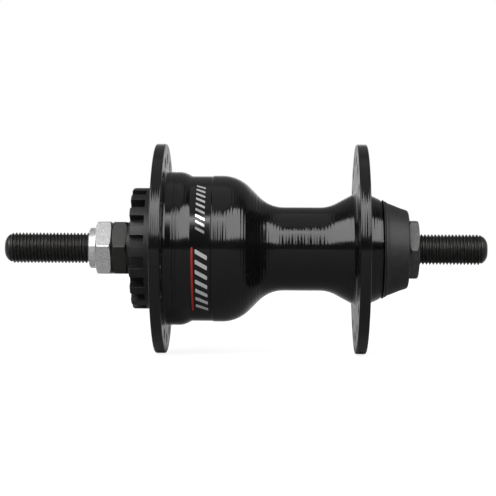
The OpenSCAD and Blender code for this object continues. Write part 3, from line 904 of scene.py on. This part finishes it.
def barrel_outline():
    """Outside of the shell from the left flange to the right one: drum, band, bowl, barrel and flare."""
    drum_r, barrel_r, bend = 22.3, 12.15, 10
    bowl_r, bowl_x, bowl_bend, slope = BAND_R + 0.2, -6.7, 11, 45
    flare_x, flare_slope = 21.5, 28.5
    cos_s, sin_s = math.cos(math.radians(slope)), math.sin(math.radians(slope))
    bowl_end_x = bowl_x + bowl_bend * sin_s
    bowl_end_r = bowl_r - bowl_bend * (1 - cos_s)
    waist_start_r = barrel_r + bend * (1 - cos_s)
    waist_x = bowl_end_x + bowl_end_r - waist_start_r + bend * sin_s
    flare_end_x = flare_x + bend * math.sin(math.radians(flare_slope))
    flare_end_r = barrel_r + bend * (1 - math.cos(math.radians(flare_slope)))
    flare_stop = RIGHT_INNER - 0.8
    return [
        (LEFT_INNER, CELL_IN), *arc(LEFT_INNER + 0.8, drum_r + 0.8, 0.8, -90, -180, 6),
        (-18.8, drum_r), (-17.6, drum_r - 0.2), (-16.5, drum_r - 0.65), (BAND_LEFT, BAND_R),
        (BAND_RIGHT, BAND_R), (BAND_RIGHT + 0.3, bowl_r),
        *arc(bowl_x, bowl_r - bowl_bend, bowl_bend, 0, slope, 20),
        *arc(waist_x, barrel_r + bend, bend, 180 + slope, 180, 18),
        *arc(flare_x, barrel_r + bend, bend, 180, 180 - flare_slope, 14),
        (flare_stop, flare_end_r + (flare_stop - flare_end_x) * math.tan(math.radians(flare_slope))),
        (RIGHT_INNER - 0.3, 16.6), (RIGHT_INNER, 17.2), (RIGHT_INNER, CELL_IN)
    ]


def resampled(outline, step):
    """Outline with a point at least every step along it."""
    result = [outline[0]]
    for start, end in zip(outline, outline[1:]):
        start, end = Vector(start), Vector(end)
        count = max(1, math.ceil((end - start).length / step))
        result += [tuple(start.lerp(end, i / count)) for i in range(1, count + 1)]
    return result


def tool_marks(outline, depth, pitch):
    """Outline with the shallow scallops that the lathe tool leaves, of uneven depth."""
    result = []
    for x, r in resampled(outline, GROOVE_STEP):
        strength = 0.9 + noise.noise(Vector((x * 1.7, 0.3, 0)))
        wave = abs(math.sin(math.pi * (x / pitch + 0.3 * noise.noise(Vector((x * 0.9, 5, 0))))))
        grooved = any(start < x < end for start, end in GROOVED)
        result.append((x, r - depth * max(strength, 0.1) * (1 - wave) * grooved))
    return result


def make_shell():
    """One-piece shell, with every spoke hole countersunk."""
    bm = bmesh.new()
    around = steps(COLUMNS)
    left_phase, right_phase = 0.0, math.pi / HOLES
    drill_flange(bm, LEFT_OUTER, LEFT_INNER, left_phase)
    drill_flange(bm, RIGHT_INNER, RIGHT_OUTER, right_phase)
    loft(bm, tool_marks(rim(LEFT_OUTER, LEFT_INNER), *RIM_MARKS), around)
    loft(bm, tool_marks(rim(RIGHT_INNER, RIGHT_OUTER), *RIM_MARKS), around)
    outside = rounded(barrel_outline(), 0.12, closed=False)
    loft(bm, tool_marks(outside, *BARREL_MARKS), around)
    collar_r, end_r, cup_r, bore_r, carrier_r = 16.1, 14.2, 11.8, 9.0, 13.0
    chamber_right, chamber_left, chamber_r, chamber_end_r = -6.3, -24.2, 18.3, 15.8
    left_seat, right_seat, carrier_end, carrier_foot = -19.9, 32.5, -27, -3
    mouth_r, groove_r, groove_right, groove_left = 19.6, 20.2, chamber_left - 1, chamber_left - 1.5
    collar = [
        (RIGHT_OUTER, CELL_IN), (RIGHT_OUTER, collar_r + 0.6), (RIGHT_OUTER + 0.12, collar_r + 0.18),
        (RIGHT_OUTER + 0.5, collar_r - 0.05), (SHELL_END - 0.6, end_r + 0.45),
        (SHELL_END - 0.55, end_r + 0.33), (SHELL_END - 0.3, end_r + 0.25),
        (SHELL_END - 0.25, end_r + 0.12), (SHELL_END, end_r)
    ]
    inside = [
        (SHELL_END, cup_r), (right_seat, cup_r), (right_seat, bore_r), (left_seat, bore_r),
        (left_seat, cup_r), (carrier_end, cup_r), (carrier_end, carrier_r), (carrier_foot, carrier_r),
        (carrier_foot, chamber_end_r), (chamber_right, chamber_end_r), (chamber_right, chamber_r),
        (chamber_left, chamber_r), (chamber_left, mouth_r), (groove_right, mouth_r),
        (groove_right, groove_r), (groove_left, groove_r), (groove_left, mouth_r),
        (LEFT_OUTER + 0.2, mouth_r), (LEFT_OUTER, 19.9), (LEFT_OUTER, CELL_IN)
    ]
    loft(bm, tool_marks(collar, *COLLAR_MARKS), around)
    loft(bm, rounded(inside, 0.12, closed=False), around)
    piece("hub_shell_piece", bm, "shell", "gloss_black_shell", 32, 0, ("hub_shell",))


# ---------------------------------------------------------------- label

def patch(bm, x0, x1, start, end, radius, corner, slant=0):
    """Thin curved plate with rounded corners on the band, between two angles in degrees. slant is how
    many degrees its right side lies ahead of its left side."""
    lift = 0.02
    columns = max(6, round(abs(end - start) / 1.5))
    length = math.radians(abs(end - start)) * radius
    rows_top = []
    for i in range(columns + 1):
        along = length * i / columns
        near_end = min(along, length - along)
        inset = 0.0
        if near_end < corner:
            inset = corner - math.sqrt(max(0, corner ** 2 - (corner - near_end) ** 2))
        angle = start + (end - start) * i / columns
        sides = ((x0 + inset, angle - slant / 2), (x1 - inset, angle + slant / 2))
        rows_top.append([bm.verts.new(polar(x, radius + lift, math.radians(a))) for x, a in sides])

    def dropped(top):
        """Vertex on the band straight below one of the plate's upper side."""
        return bm.verts.new((top.co.x, *(c * radius / (radius + lift) for c in (top.co.y, top.co.z))))

    rows_low = [[dropped(v) for v in row] for row in rows_top]
    for rows in (rows_top, rows_low):
        for a, b in zip(rows, rows[1:]):
            bm.faces.new((a[0], a[1], b[1], b[0]))
    for side in (0, 1):
        for i in range(columns):
            bm.faces.new((rows_top[i][side], rows_top[i + 1][side],
                          rows_low[i + 1][side], rows_low[i][side]))
    for i in (0, -1):
        bm.faces.new((rows_top[i][0], rows_top[i][1], rows_low[i][1], rows_low[i][0]))


def make_label():
    """Generic print on the band: two rows of slanted silver bars and one thin red line."""
    radius, corner = BAND_R + 0.004, 0.12
    bars_left, line_left, line_right = BAND_LEFT + 1.7, BAND_LEFT + 0.55, BAND_LEFT + 1.1
    silver = printed("silver_ink", (0.95, 0.95, 0.95), 0.55, 0.1)
    # angles of the row's two ends, count of bars, and each bar's width and slant in degrees and length
    for name, first, last, bars, width, length, slant in (
            ("label_bars_above", 33, 77, 9, 2.2, 2.6, 3.5),
            ("label_bars_below", 93, 144, 7, 3.4, 3.4, 5)):
        bm = bmesh.new()
        for k in range(bars):
            start = first + (last - first - width) * k / (bars - 1)
            patch(bm, bars_left, bars_left + length, start, start + width, radius, corner, slant)
        piece(name, bm, "shell", "gloss_black_shell", 40, material=silver)
    bm = bmesh.new()
    patch(bm, line_left, line_right, 89, 147, radius, 0.1)
    piece("label_red_line", bm, "shell", "gloss_black_shell", 40,
          material=printed("red_ink", (0.55, 0.02, 0.015), 0.0, 0.42))


make_axle()
make_left_locknut()
make_left_cone()
make_right_locknut()
make_rubber_parts()
make_brake_ring()
make_shell()
make_label()
